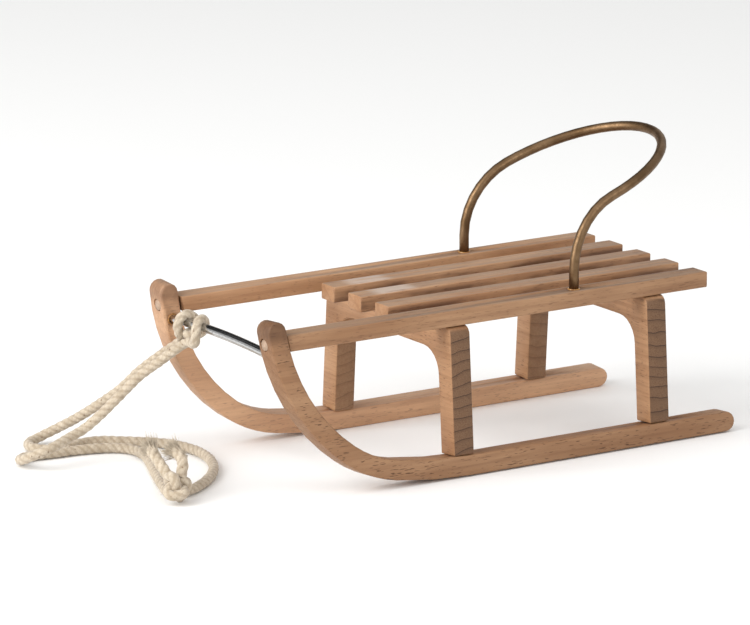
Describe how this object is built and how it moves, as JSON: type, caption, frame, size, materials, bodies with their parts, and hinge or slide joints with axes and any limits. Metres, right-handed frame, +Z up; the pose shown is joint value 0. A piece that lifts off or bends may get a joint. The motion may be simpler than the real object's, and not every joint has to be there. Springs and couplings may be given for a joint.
{
  "type": "miniature wooden sled",
  "caption": "Miniature beech sled with slatted seat, bent-tip runners, two arched trestles, a wire push hoop and a knotted cotton tow rope.",
  "frame": {"origin": "on the ground, under the middle of the sled's own box (the rope is left out of it)", "axes": "+X forward towards the curved tips, +Y to the rider's left, +Z up"},
  "size_m": [0.2411, 0.1224, 0.1065],
  "materials": {
    "beech": "sanded, unvarnished",
    "beech_dowel": "sanded end grain",
    "hoop_wire": "satin, dull bronze tone",
    "bar_steel": "bright drawn wire",
    "cotton_cord": "twisted, unbleached, slightly fuzzy"
  },
  "bodies": {
    "root": {"leg_dowel_front_left": "beech_dowel", "leg_dowel_front_right": "beech_dowel", "leg_dowel_rear_left": "beech_dowel", "leg_dowel_rear_right": "beech_dowel", "push_hoop": "hoop_wire", "rope_hitch": "cotton_cord", "rope_knot": "cotton_cord", "rope_lower_strand": "cotton_cord", "rope_tail_left": "cotton_cord", "rope_tail_right": "cotton_cord", "rope_upper_strand": "cotton_cord", "runner_left": "beech", "runner_right": "beech", "side_rail_left": "beech", "side_rail_right": "beech", "slat_centre": "beech", "slat_dowel_front_1": "beech_dowel", "slat_dowel_front_2": "beech_dowel", "slat_dowel_front_3": "beech_dowel", "slat_dowel_front_4": "beech_dowel", "slat_dowel_front_5": "beech_dowel", "slat_dowel_rear_1": "beech_dowel", "slat_dowel_rear_2": "beech_dowel", "slat_dowel_rear_3": "beech_dowel", "slat_dowel_rear_4": "beech_dowel", "slat_dowel_rear_5": "beech_dowel", "slat_left": "beech", "slat_right": "beech", "tip_dowel_left": "beech_dowel", "tip_dowel_right": "beech_dowel", "tow_bar": "bar_steel", "trestle_front": "beech", "trestle_rear": "beech"}
  },
  "joints": []
}
